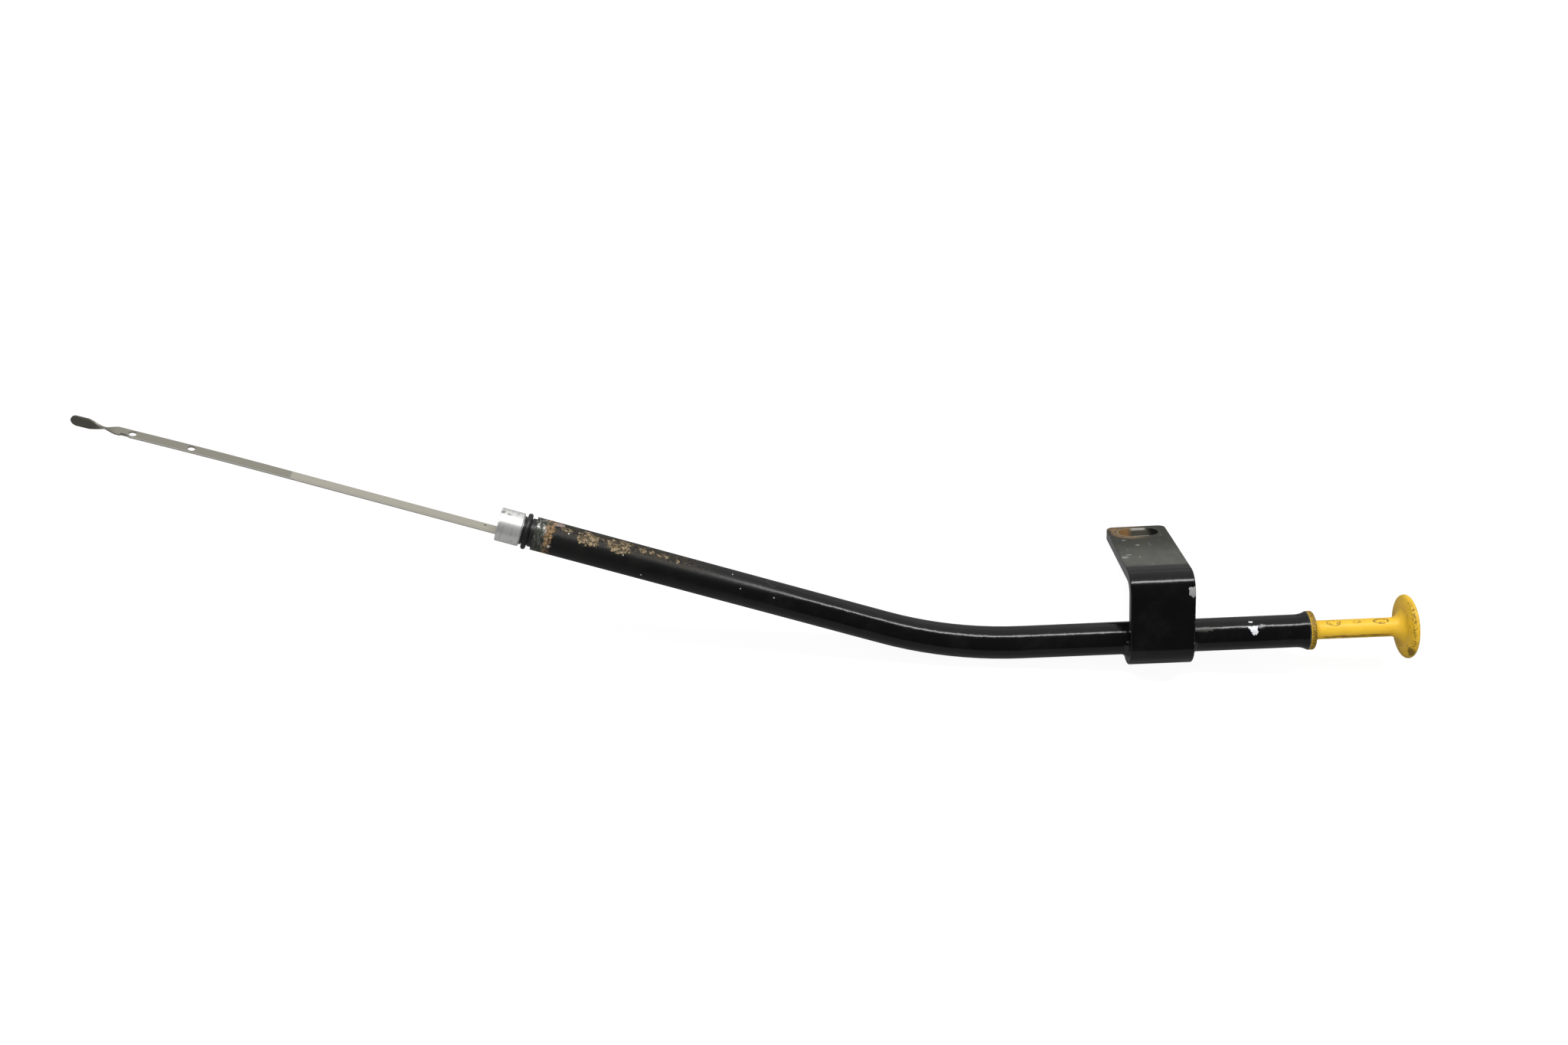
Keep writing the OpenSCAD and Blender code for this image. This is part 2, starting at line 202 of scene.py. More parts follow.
class Finish:
    """One procedural finish: a surface shader and the chains of nodes that feed it, in millimetres."""

    def __init__(self, name):
        scene = bpy.context.scene
        self.colours = scene.dipstick_colours
        self.marks = scene.dipstick_marks
        self.wear = scene.dipstick_wear
        self.material = bpy.data.materials.new(name)
        self.material.use_nodes = True
        self.tree = self.material.node_tree
        self.tree.nodes.clear()
        self.surface = self.node("BsdfPrincipled")
        output = self.node("OutputMaterial")
        self.feed(output.inputs["Surface"], self.surface.outputs["BSDF"])
        self.point = self.node("TexCoord").outputs["Object"]

    def node(self, kind):
        return self.tree.nodes.new("ShaderNode" + kind)

    def feed(self, socket, value):
        if isinstance(value, bpy.types.NodeSocket):
            self.tree.links.new(value, socket)
        elif hasattr(value, "__len__"):
            value = list(value)
            socket.default_value = value + [1.0] * (len(socket.default_value) - len(value))
        else:
            socket.default_value = value

    def set(self, **values):
        """Feeds the surface's own inputs, named as in the shader."""
        for name, value in values.items():
            self.feed(self.surface.inputs[name.replace("_", " ").title().replace("Ior", "IOR")], value)

    def place(self, axes):
        """The point in these axes, in millimetres."""
        node = self.node("Mapping")
        node.vector_type = "TEXTURE"
        self.feed(node.inputs["Vector"], self.point)
        node.inputs["Location"].default_value = axes.to_translation()
        node.inputs["Rotation"].default_value = axes.to_euler()
        node.inputs["Scale"].default_value = (MM, MM, MM)
        return node.outputs["Vector"]

    def split(self, vector):
        node = self.node("SeparateXYZ")
        self.feed(node.inputs[0], vector)
        return node.outputs

    def join(self, x, y, z):
        node = self.node("CombineXYZ")
        for socket, value in zip(node.inputs, (x, y, z)):
            self.feed(socket, value)
        return node.outputs[0]

    def math(self, operation, a, b=0.0, c=0.0, clamp=False):
        node = self.node("Math")
        node.operation = operation
        node.use_clamp = clamp
        for socket, value in zip(node.inputs, (a, b, c)):
            self.feed(socket, value)
        return node.outputs[0]

    def vector(self, operation, a, b=(0.0, 0.0, 0.0)):
        node = self.node("VectorMath")
        node.operation = operation
        self.feed(node.inputs[0], a)
        self.feed(node.inputs[1], b)
        return node.outputs["Value" if operation in ("LENGTH", "DOT_PRODUCT", "DISTANCE") else "Vector"]

    def chain(self, operation, values):
        total = values[0]
        for value in values[1:]:
            total = self.math(operation, total, value)
        return total

    def add(self, *values):
        return self.chain("ADD", values)

    def times(self, *values):
        return self.chain("MULTIPLY", values)

    def most(self, *values):
        return self.chain("MAXIMUM", values)

    def less(self, a, b):
        return self.math("SUBTRACT", a, b)

    def ramp(self, value, low, high, start=0.0, end=1.0):
        """A smooth step from start, at low, to end, at high."""
        node = self.node("MapRange")
        node.interpolation_type = "SMOOTHSTEP"
        for socket, number in zip(node.inputs, (value, low, high, start, end)):
            self.feed(socket, number)
        return node.outputs[0]

    def band(self, value, low, high, edge):
        """One between low and high, fading out over edge on both sides."""
        risen = self.ramp(value, low - edge, low + edge)
        return self.times(risen, self.ramp(value, high - edge, high + edge, 1, 0))

    def noise(self, vector, size, detail=3.0, rough=0.55, stretch=(1, 1, 1)):
        """Noise with grains of this size, drawn out by stretch along each axis."""
        node = self.node("TexNoise")
        scaled = self.vector("MULTIPLY", vector, [1 / (size * s) for s in stretch])
        self.feed(node.inputs["Vector"], scaled)
        node.inputs["Scale"].default_value = 1.0
        node.inputs["Detail"].default_value = detail
        node.inputs["Roughness"].default_value = rough
        return node.outputs["Fac"]

    def waver(self, vector, size, reach, detail=4.0, rough=0.65):
        """A wander about zero, to make an edge ragged."""
        return self.times(self.less(self.noise(vector, size, detail, rough), 0.5), reach)

    def specks(self, vector, size, radius, kept):
        """Small round specks, one to a cell of this size, of which this share is kept."""
        node = self.node("TexVoronoi")
        self.feed(node.inputs["Vector"], self.vector("MULTIPLY", vector, [1 / size] * 3))
        node.inputs["Scale"].default_value = 1.0
        lot = self.split(node.outputs["Color"])[0]
        near = self.ramp(node.outputs["Distance"], radius * 0.55, radius, 1, 0)
        return self.times(near, self.ramp(lot, kept - 0.01, kept + 0.01, 1, 0))

    def facing(self, vector, direction, radius):
        """How squarely a point of a round bar of this radius faces this way."""
        return self.vector("DOT_PRODUCT", vector, [part / radius for part in direction])

    def spot(self, vector, centre, radii):
        """One at centre, falling to zero at these radii."""
        offset = self.vector("SUBTRACT", vector, centre)
        scaled = self.vector("MULTIPLY", offset, [1 / r for r in radii])
        return self.math("SUBTRACT", 1.0, self.vector("LENGTH", scaled), clamp=True)

    def patch(self, vector, centre, radii, grain, ragged):
        """A ragged-edged patch about centre."""
        edge = self.waver(vector, grain, ragged * 2, rough=0.6)
        spot = self.spot(vector, centre, radii)
        filled = self.ramp(self.add(spot, edge), 0.30, 0.38)
        return self.times(filled, self.ramp(spot, 0.02, 0.12))

    def dot(self, vector, centre, radius):
        """A small round dot, soft at its edge."""
        return self.ramp(self.vector("DISTANCE", vector, centre), radius * 0.5, radius, 1, 0)

    def flake(self, vector, sides, grain, ragged):
        """A many-sided flake: sides holds a point on each side, and the way from there to the inside."""
        x, y = self.split(vector)[:2]
        wobble = self.waver(vector, grain, ragged * 2)
        inside = 1.0
        for px, py, nx, ny in sides:
            reach = self.add(self.times(self.less(x, px), nx), self.times(self.less(y, py), ny))
            inside = self.math("MINIMUM", inside, reach)
        return self.ramp(self.add(inside, wobble), 0, 0.12)

    def blend(self, share, a, b):
        node = self.node("Mix")
        node.data_type = "FLOAT"
        self.feed(node.inputs[0], share)
        self.feed(node.inputs[2], a)
        self.feed(node.inputs[3], b)
        return node.outputs[0]

    def tint(self, share, a, b):
        node = self.node("Mix")
        node.data_type = "RGBA"
        self.feed(node.inputs[0], share)
        self.feed(node.inputs[6], a)
        self.feed(node.inputs[7], b)
        return node.outputs[2]

    def bump(self, height, depth, strength=1.0, below=None):
        """A bump of this depth in millimetres."""
        node = self.node("Bump")
        self.feed(node.inputs["Height"], height)
        node.inputs["Distance"].default_value = depth * MM
        node.inputs["Strength"].default_value = strength
        if below is not None:
            self.feed(node.inputs["Normal"], below)
        return node.outputs["Normal"]

    def dress(self, *nodes):
        """Gives this finish to solids of the frame."""
        for node in nodes:
            materials = NODES[node].data.materials
            materials.clear()
            materials.append(self.material)


class Enamel(Finish):
    """Black gloss enamel, over which wear is laid in layers."""

    def __init__(self, name, gloss=(0.11, 0.17), ripple=0.7):
        super().__init__(name)
        self.everywhere = self.vector("MULTIPLY", self.point, [1 / MM] * 3)
        cloud = self.noise(self.everywhere, 9, 4, 0.6)
        self.colour = self.tint(self.ramp(cloud, 0.45, 0.75, 0, 0.07), self.colours.paint, self.colours.haze)
        self.rough = self.blend(self.noise(self.everywhere, 5, 3), *gloss)
        self.metal = 0.0
        self.normal = self.bump(self.noise(self.everywhere, 3.2, 4, 0.55), 0.28, self.wear.peel * ripple)

    def lay(self, mask, colour, rough, metal=0.0, depth=0.0, grain=None):
        """Lays a kind of wear where mask is one, standing proud of the paint by depth."""
        self.colour = self.tint(mask, self.colour, colour)
        self.rough = self.blend(mask, self.rough, rough)
        self.metal = self.blend(mask, self.metal, metal)
        if depth:
            height = mask if grain is None else self.times(mask, grain)
            self.normal = self.bump(height, abs(depth), 1.0 if depth > 0 else 0.8, self.normal)

    def finish(self):
        self.set(base_color=self.colour, roughness=self.rough, metallic=self.metal, normal=self.normal)
        self.set(ior=1.5)
        return self.material


# The wear's places are in millimetres, in the axes of the leg or the bracket that it is on.


class DIPSTICK_OT_guide_tube(bpy.types.Operator):
    """Enamel of the guide tube, with its rust, chips, scratches and bare lower end, and painted highlights on
    the bare steel and the mouth's lip
    """

    bl_idname = "dipstick.guide_tube"
    bl_label = "Guide tube"

    # Where the lower leg goes dull, loses its sheen and gathers haze.
    dull_span, sheen_span, haze_span = (42, 108), (84, 125), (100, 150)
    dull_rough = 0.42
    sheen = (0.36, 0.25)

    # Where the leg is dusted with rust, the paint ends, and the rust ring lies beside its edge.
    dusted_span = (98, 150)
    paint_end = (152.2, 152.5)
    rust_ring = (150.9, 153.7)

    # Ways that the rusted side of the lower leg faces, and the side on which its bare steel is painted
    # lighter as a highlight.
    rusted_side = (0, -0.10, -0.995)
    scuffed_side = (0, 0.10, -0.995)

    # Centre and radii of each patch of flaking rust on the lower leg.
    rust_patches = (
        ((138.4, -1.6, -5.5), (6.0, 4.2, 3.5)),
        ((127.4, -1.6, -5.5), (7.2, 4.4, 3.5)),
        ((119.4, -0.9, -5.9), (2.6, 2.2, 2)),
        ((116.1, -0.6, -5.9), (1.6, 1.5, 2)),
        ((111.3, -0.8, -5.9), (3.2, 1.4, 2)),
        ((106.3, -1.7, -5.8), (1.2, 1.1, 2)),
        ((147.0, -0.6, -5.9), (2.6, 1.6, 2)),
    )
    # Centre and radius of each dried droplet on the lower leg.
    droplets = (
        ((151.5, -5.9, -0.7), 0.70),
        ((145.8, -2.1, -5.6), 0.40),
        ((125.6, -4.2, -4.3), 0.28),
        ((117.6, -5.9, 0.9), 0.36),
        ((86.0, -0.6, -6.0), 0.28),
        ((82.2, -4.7, -3.8), 0.24),
        ((69.6, -4.7, -3.7), 0.28),
    )
    primer_patch = (149.9, 0.9, -5.8), (3.2, 2.0, 1.6)

    # A scratch along part of a circle on the lower leg, and where it sets in along each axis.
    scratch_centre = (70.66, 1.78, 0)
    scratch_radii = (2.72, 2.86)
    scratch_ends = (69.4, 70.0), (1.4, 1.0), (-5, -5.4)

    # Marks on the upper leg. The large chip has a point on each side, and the way from there to its inside.
    rubbed_patch = (91, -3.0, 5.2), (5.5, 1.3, 1.6)
    dent = (111.8, -2.8, 5.3), (1.9, 2.4, 2.0)
    small_chip = (108.2, -0.9, 5.9), (1.1, 0.5, 0.8)
    large_chip = (
        (108, -2.6, 0, -1),
        (110.3, -3, -1, 0),
        (106.6, -2.6, 0.79, 0.61),
        (108.6, -5.3, -0.32, 0.95),
    )

    def execute(self, context):
        paint = Enamel("tube enamel")
        low, up = paint.place(LOWER_LEG), paint.place(UPPER_LEG)
        self.dulling(paint, low)
        self.flaking(paint, low)
        self.scratches(paint, low, up)
        self.chips(paint, low, up)
        self.bare_end(paint, low)
        paint.finish()
        paint.dress("guide_tube")
        return {"FINISHED"}

    def dulling(self, paint, low):
        """Enamel that loses its gloss towards the tube's lower end."""
        x = paint.split(low)[0]
        paint.rough = paint.blend(paint.ramp(x, *self.dull_span), paint.rough, self.dull_rough)
        paint.colour = paint.tint(paint.ramp(x, *self.haze_span, 0, 0.08), paint.colour, paint.colours.haze)
        paint.set(specular_ior_level=paint.ramp(x, *self.sheen_span, *self.sheen))

    def flaking(self, paint, low):
        """Rust that flakes through the paint along the upper front of the lower leg."""
        colours, wear = paint.colours, paint.wear
        spread = 0.6 + 0.8 * wear.rust
        rust = 0.0
        for centre, radii in self.rust_patches:
            rust = paint.most(rust, paint.patch(low, centre, [r * spread for r in radii], 2.0, 0.95))
        holes = paint.ramp(paint.noise(low, 1.1, 6, 0.8), 0.43, 0.50)
        mixed = paint.ramp(paint.noise(low, 1.3, 6, 0.8), 0.42, 0.58)
        flakes = paint.tint(mixed, colours.rust_dark, colours.rust_pale)
        paint.lay(paint.times(rust, holes), flakes, 0.9, depth=0.14, grain=paint.noise(low, 0.5, 5, 0.75))

        along = paint.band(paint.split(low)[0], *self.dusted_span, 10)
        round_it = paint.ramp(paint.facing(low, self.rusted_side, TUBE_RADIUS), 0.78, 0.98)
        dust = paint.ramp(paint.noise(low, 0.6, 5, 0.8), 0.54 - 0.10 * wear.speckle, 0.58)
        paint.lay(paint.times(along, round_it, dust, 0.75), paint.marks.rust_dust, 0.9, depth=0.04)

    def scratches(self, paint, low, up):
        """A curved scratch on the lower leg, and a rubbed patch and a dent on the upper."""
        flat = paint.vector("MULTIPLY", paint.vector("SUBTRACT", low, self.scratch_centre), (1, 1, 0))
        arc = paint.band(paint.vector("LENGTH", flat), *self.scratch_radii, 0.08)
        x, y, z = (paint.ramp(part, *ends) for part, ends in zip(paint.split(low), self.scratch_ends))
        arc = paint.times(arc, y, x, z)
        paint.lay(paint.times(arc, 0.7), paint.marks.hairline, 0.4)

        hair = paint.noise(up, 0.5, 3, 0.6, (40, 1, 1))
        rubbed = paint.patch(up, *self.rubbed_patch, 0.5, 0.9)
        paint.lay(paint.times(rubbed, 0.5), paint.colours.haze, 0.42, depth=0.02, grain=hair)
        dent = paint.ramp(paint.spot(up, *self.dent), 0, 1)
        paint.normal = paint.bump(dent, -0.13, 1.0, paint.normal)

    def chips(self, paint, low, up):
        """Chips, droplets and specks, and the lip of the mouth, worn and painted lighter as a highlight."""
        colours, marks = paint.colours, paint.marks
        x, y, z = paint.split(up)
        large = paint.times(paint.flake(up, self.large_chip, 0.7, 0.9), paint.ramp(z, 1, 2))
        paint.lay(large, colours.chip, 0.45, metal=0.2, depth=-0.05)
        small = paint.patch(up, *self.small_chip, 0.6, 0.6)
        paint.lay(small, colours.chip, 0.5, metal=0.1, depth=-0.03)
        primer = paint.patch(low, *self.primer_patch, 1.0, 0.5)
        paint.lay(primer, marks.primer, 0.7, depth=-0.04)

        droplets = 0.0
        for centre, radius in self.droplets:
            droplets = paint.most(droplets, paint.dot(low, centre, radius))
        paint.lay(droplets, marks.droplet, 0.7, depth=0.05)
        specks = paint.specks(paint.everywhere, 4.2, 0.040, 0.16 * paint.wear.speckle)
        paint.lay(specks, marks.speck, 0.8)

        # Painted highlight with wear: a broken light ring on the rim of the mouth.
        lip = paint.band(x, MOUTH - 0.35, MOUTH + 0.1, 0.08)
        worn = paint.ramp(paint.noise(up, 1.2), 0.3, 0.6)
        paint.lay(paint.times(lip, worn, 0.6), marks.lip, 0.3)

    def bare_end(self, paint, low):
        """Bare steel between the paint's edge and the end fitting, its scuffs painted lighter as a highlight
        on the upward side, and the rust ring beside it.
        """
        colours = paint.colours
        edge = paint.add(paint.split(low)[0], paint.waver(low, 2.4, 3.4))
        steel = paint.ramp(edge, *self.paint_end)
        scuffs = paint.noise(low, 0.7, 5, 0.75, (1, 2.5, 2.5))
        # Painted highlight: the bare scuffs are made lighter on the side that faces up.
        lit = paint.ramp(paint.facing(low, self.scuffed_side, TUBE_RADIUS), 0.45, 0.9, 0.25, 1)
        bright = paint.times(paint.ramp(scuffs, 0.50, 0.60), lit)
        metal = paint.tint(bright, colours.grime, colours.bare)
        paint.lay(steel, metal, paint.blend(bright, 0.50, 0.36), metal=0.5, depth=0.08, grain=scuffs)

        ring = paint.band(edge, *self.rust_ring, 0.5)
        heavy = paint.ramp(paint.noise(low, 1.6, 4, 0.7), 0.40, 0.52)
        ochre = paint.tint(0.45, colours.rust_orange, colours.rust_pale)
        rust = paint.tint(paint.ramp(paint.noise(low, 0.8, 5, 0.75), 0.42, 0.58), colours.rust_dark, ochre)
        paint.lay(paint.times(ring, heavy), rust, 0.85, depth=0.15, grain=paint.noise(low, 0.5, 3))


class DIPSTICK_OT_bracket(bpy.types.Operator):
    """Enamel of the bracket, with its scuffed flange, rusted slot and chipped edges, and painted highlight
    and shade on the slot's wall
    """

    bl_idname = "dipstick.bracket"
    bl_label = "Bracket"

    # Centre and radii of each nick in the flange, and the place and radius of each single grain.
    nicks = (
        ((25.0, FLANGE_HEIGHT, 8.5), (0.9, 1, 1.2)),
        ((12.0, FLANGE_HEIGHT, 1.5), (1.6, 2, 1.8)),
        ((14.5, FLANGE_HEIGHT, 3.4), (0.8, 1, 1.6)),
        ((31.0, FLANGE_HEIGHT, 4.4), (0.7, 1, 1.4)),
    )
    grains = (
        ((12.0, FLANGE_HEIGHT, 7.0), 0.35),
        ((-6.5, 25.9, 7.0), 0.30),
    )
    rusted_corner = (46.2, FLANGE_HEIGHT - 0.5, 2.2), (5.5, 4, 3.6)
    edge_chip = (-9.3, 20.8, 21.8), (2.2, 3.0, 2.3)

    # Along the flange: where its scuffed face sets in, darkens and loses its sheen.
    scuffed_from, darkened_span, sheen_span = (1, 4), (10, 30), (5, 32)
    # Outwards from the slot's wall: the rust stain and the polished ring.
    stain_ring, polish_ring = (0.5, 2.7), (0.15, 0.65)
    # Along the slot's wall: the crust's end, the painted highlight and its height, and where the painted
    # shade starts.
    crust_end, bright_run, bright_height, grime_start = (-4.2, -1.0), (-2.2, 3.4), (25.9, 26.6), (3.8, 6.0)
    # Where the strap's right edge is worn in front, and its left edge behind.
    worn_front, worn_front_height = (-7, -9), (-4, 17)
    worn_rear, worn_rear_height = (8, 12), (22, 24)

    def execute(self, context):
        paint = Enamel("bracket enamel", (0.12, 0.16), 0.3)
        at = paint.place(BRACKET)
        x, y = paint.split(at)[:2]
        top_face = paint.ramp(y, FLANGE_HEIGHT - 0.4, FLANGE_HEIGHT - 0.1)
        outer = paint.times(top_face, paint.ramp(x, *self.scuffed_from))
        self.scuffs(paint, at, x, outer)
        self.slot(paint, at, outer)
        self.edges(paint, at)
        paint.finish()
        paint.set(specular_ior_level=paint.blend(outer, 0.36, paint.ramp(x, *self.sheen_span, 0.60, 0.15)))
        paint.dress("bracket")
        return {"FINISHED"}

    def scuffs(self, paint, at, x, outer):
        """The flange's dull scuffed face, with rubbed lines, nicks and grains, and a colour that runs paler
        near the bend and darker near the slot.
        """
        marks = paint.marks
        cloud = paint.ramp(paint.noise(at, 7, 5, 0.65), 0.30, 0.70, 0.55, 0.95)
        # Colour paler near the bend and darker near the slot.
        tone = paint.tint(paint.ramp(x, *self.darkened_span), marks.scuff_pale, marks.scuff_dark)
        paint.lay(paint.times(outer, cloud), tone, 0.45)
        lines = paint.ramp(paint.noise(at, 0.35, 3, 0.6, (22, 1, 3)), 0.62, 0.72)
        paint.lay(paint.times(outer, lines, 0.5), marks.rubbing, 0.4)
        for centre, radii in self.nicks:
            paint.lay(paint.patch(at, centre, radii, 0.5, 0.6), marks.nick, 0.5, depth=-0.02)
        for centre, radius in self.grains:
            paint.lay(paint.dot(at, centre, radius), marks.grain, 0.8)

    def slot(self, paint, at, outer):
        """Rust and polish where a washer sat round the slot, and the bare wall inside it, with a painted
        highlight along the top of its far wall and painted shade at its right end.
        """
        colours, marks = paint.colours, paint.marks
        x, y, z = paint.split(at)
        across = paint.less(x, SLOT_MIDDLE)
        run = paint.less(z, STRAP_WIDTH / 2)
        past = paint.math("MAXIMUM", paint.less(paint.math("ABSOLUTE", run), SLOT_HALF_RUN), 0.0)
        from_wall = paint.less(paint.vector("LENGTH", paint.join(across, past, 0.0)), SLOT_RADIUS)
        left = paint.ramp(run, 5, -5)
        wobble = paint.waver(at, 1.5, 2.0)

        stain = paint.band(paint.add(from_wall, wobble), *self.stain_ring, 0.8)
        warm = paint.tint(paint.noise(at, 1.0, 4, 0.7), colours.rust_orange, colours.rust_dark)
        cover = paint.ramp(paint.noise(at, 0.7, 5, 0.8), 0.40, 0.58, 0.15, 0.85)
        crumbs = paint.ramp(paint.noise(at, 0.5, 4, 0.75), 0.42, 0.58, 0.1, 0.85)
        rust = paint.tint(crumbs, warm, marks.rust_crumb)
        paint.lay(paint.times(stain, left, outer, cover), rust, 0.8, depth=0.04)
        polish = paint.band(paint.add(from_wall, paint.times(wobble, 0.2)), *self.polish_ring, 0.15)
        paint.lay(paint.times(polish, outer, paint.blend(left, 0.08, 0.60)), marks.polish, 0.5, metal=0.2)
        corner = paint.patch(at, *self.rusted_corner, 2.0, 0.5)
        paint.lay(paint.times(corner, cover), rust, 0.85, depth=0.05)

        inside = paint.ramp(from_wall, 0.05, 0.25, 1, 0)
        run = paint.add(run, paint.times(wobble, 1.2))
        crust = paint.tint(paint.noise(at, 0.7, 4, 0.7), marks.crust_pale, marks.crust_dark)
        wall = paint.tint(paint.ramp(run, *self.crust_end), crust, marks.wall)
        # Painted highlight along the top of the slot's far wall, then painted shade at its right end.
        bright = paint.times(paint.band(run, *self.bright_run, 0.8), paint.ramp(y, *self.bright_height))
        wall = paint.tint(bright, wall, marks.wall_bright)
        wall = paint.tint(paint.ramp(run, *self.grime_start), wall, marks.wall_dark)
        paint.lay(inside, wall, 0.7, metal=0.2, depth=0.05, grain=paint.noise(at, 0.6, 4, 0.7))

    def edges(self, paint, at):
        """The chip on the strap's right edge, and paint worn off both edges."""
        x, y, z = paint.split(at)
        chip = paint.patch(at, *self.edge_chip, 1.2, 0.45)
        paint.lay(chip, paint.marks.edge_chip, 0.5, metal=0.5, depth=-0.05)
        right = paint.ramp(z, STRAP_WIDTH - 0.7, STRAP_WIDTH - 0.35)
        worn = paint.ramp(paint.noise(at, 1.4, 4, 0.7), 0.58, 0.66)
        run = paint.ramp(x, *self.worn_front), paint.band(y, *self.worn_front_height, 2)
        front = paint.times(right, worn, *run)
        paint.lay(front, paint.marks.edge_worn, 0.6, metal=0.2, depth=-0.03)
        left = paint.times(paint.ramp(z, 0.7, 0.35), paint.ramp(paint.noise(at, 1.8, 4, 0.7), 0.60, 0.66))
        rear = paint.times(left, paint.ramp(x, *self.worn_rear), paint.ramp(y, *self.worn_rear_height))
        paint.lay(rear, paint.colours.bare, 0.5, metal=0.5, depth=-0.03)


class DIPSTICK_OT_braze_beads(bpy.types.Operator):
    """Lumpy braze beads in place of the plain fillets between the strap's edges and the tube"""

    bl_idname = "dipstick.braze_beads"
    bl_label = "Braze beads"

    # Steps along a bead, and across its face.
    steps = 120
    across = 10

    # Each bead's name, the node that it stands for, the strap's edge, and the side that it lies on.
    beads = (
        ("left_bead", "left_braze_bead", 0.0, -1),
        ("right_bead", "right_braze_bead", STRAP_WIDTH, 1),
    )

    def execute(self, context):
        sizes = context.scene.dipstick_beads
        paint = Enamel("bead enamel")
        paint.normal = paint.bump(paint.noise(paint.everywhere, 1.2, 3, 0.6), 0.10, 0.6, paint.normal)
        material = paint.finish()
        for name, node, edge, side in self.beads:
            piece = self.bead(name, sizes, edge, side)
            piece.data.materials.append(material)
            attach(piece, "root")
            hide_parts(node)
        return {"FINISHED"}

    def leg(self, sizes, turn, side):
        """The bead's leg at a share of its way round, in millimetres."""
        lump = noise.fractal(Vector((turn * 9.0, 3.1 * side, 0.7)), 0.8, 2.0, 3)
        taper = min(1.0, math.sqrt(max(0.0, min(turn, 1 - turn)) * 12))
        return sizes.size / MM * (1 - sizes.lumps * (0.5 - 0.5 * lump)) * max(taper, 0.05)

    def section(self, leg, turn, side):
        """Radius and place along the tube: the hollow face from tube to strap, then their corner."""
        points = []
        for j in range(self.across + 1):
            u = math.pi / 2 * j / self.across
            out, back = leg * (1 - math.cos(u)), leg * (1 - math.sin(u))
            chord = leg * j / self.across
            swell = 0.30 + 0.25 * noise.noise(Vector((turn * 14, j * 0.5, side)))
            points.append((TUBE_RADIUS + out + (chord - out) * swell, back + (leg - chord - back) * swell))
        return points + [(TUBE_RADIUS, 0.0)]

    def bead(self, name, sizes, edge, side):
        """A closed ribbon of such sections round the tube."""
        mesh = bmesh.new()
        rings = []
        for i in range(self.steps + 1):
            turn = i / self.steps
            angle = sizes.start + sizes.sweep * turn
            leg = min(self.leg(sizes, turn, side), sizes.size / MM)
            rings.append([
                mesh.verts.new(BRACKET @ Vector(
                    (radius * math.cos(angle) * MM, radius * math.sin(angle) * MM, (edge + side * along) * MM)
                ))
                for radius, along in self.section(leg, turn, side)
            ])
        for a, b in zip(rings, rings[1:]):
            for j in range(len(a)):
                k = (j + 1) % len(a)
                mesh.faces.new((a[j], a[k], b[k], b[j]))
        mesh.faces.new(rings[0])
        mesh.faces.new(reversed(rings[-1]))
        bmesh.ops.recalc_face_normals(mesh, faces=mesh.faces)
        for face in mesh.faces:
            face.smooth = True
        data = bpy.data.meshes.new(name)
        mesh.to_mesh(data)
        mesh.free()
        piece = bpy.data.objects.new(name, data)
        bpy.context.scene.collection.objects.link(piece)
        return piece


class DIPSTICK_OT_end_fitting(bpy.types.Operator):
    """Turned aluminium of the end fitting, stained and scuffed"""

    bl_idname = "dipstick.end_fitting"
    bl_label = "End fitting"

    # Centre, radii and grain of each dark smudge on the head.
    smudges = (
        ((169.6, -0.3, -5.9), (1.4, 1.1, 1), 0.7),
        ((167.4, -0.9, -5.9), (1.0, 0.7, 1), 0.6),
    )
    # Place along the lower leg where the neck ends.
    neck_end = 161.85

    def execute(self, context):
        metal = Finish("turned aluminium")
        marks = metal.marks
        at = metal.place(LOWER_LEG)
        x = metal.split(at)[0]
        # The neck is near-black.
        neck = metal.ramp(x, self.neck_end, self.neck_end - 0.2)
        rings = metal.noise(metal.join(x, 0.0, 0.0), 0.16, 3, 0.6)
        stain = metal.ramp(metal.noise(at, 2.2, 4, 0.65, (0.5, 1.6, 1.6)), 0.50, 0.72)
        smudge = metal.most(*[metal.patch(at, *place, 0.7) for place in self.smudges])
        base = metal.tint(metal.times(stain, 0.55), metal.colours.aluminium, marks.stain)
        base = metal.tint(metal.times(smudge, 0.7), base, marks.smudge)
        rough = metal.blend(stain, metal.blend(rings, 0.34, 0.42), 0.50)
        metal.set(
            base_color=metal.tint(neck, base, marks.neck),
            metallic=metal.blend(neck, 0.78, 0.2),
            roughness=metal.blend(smudge, rough, 0.6),
            normal=metal.bump(rings, 0.02, 0.5, metal.bump(metal.noise(at, 1.1, 3), 0.03, 0.35)),
        )
        metal.dress("end_fitting")
        return {"FINISHED"}


class DIPSTICK_OT_seals(bpy.types.Operator):
    """Black rubber of the two seal rings, oily and slightly dusty"""

    bl_idname = "dipstick.seals"
    bl_label = "Seals"

    def execute(self, context):
        rubber = Finish("seal rubber")
        at = rubber.place(LOWER_LEG)
        dust = rubber.ramp(rubber.noise(at, 0.8, 4, 0.7), 0.55, 0.75, 0, 0.35)
        rubber.set(
            base_color=rubber.tint(dust, rubber.colours.rubber, rubber.marks.rubber_dust),
            roughness=rubber.blend(rubber.noise(at, 1.5), 0.30, 0.55),
            normal=rubber.bump(rubber.noise(at, 0.5, 3), 0.03, 0.4),
        )
        rubber.dress("fitting_seal", "mouth_seal")
        return {"FINISHED"}


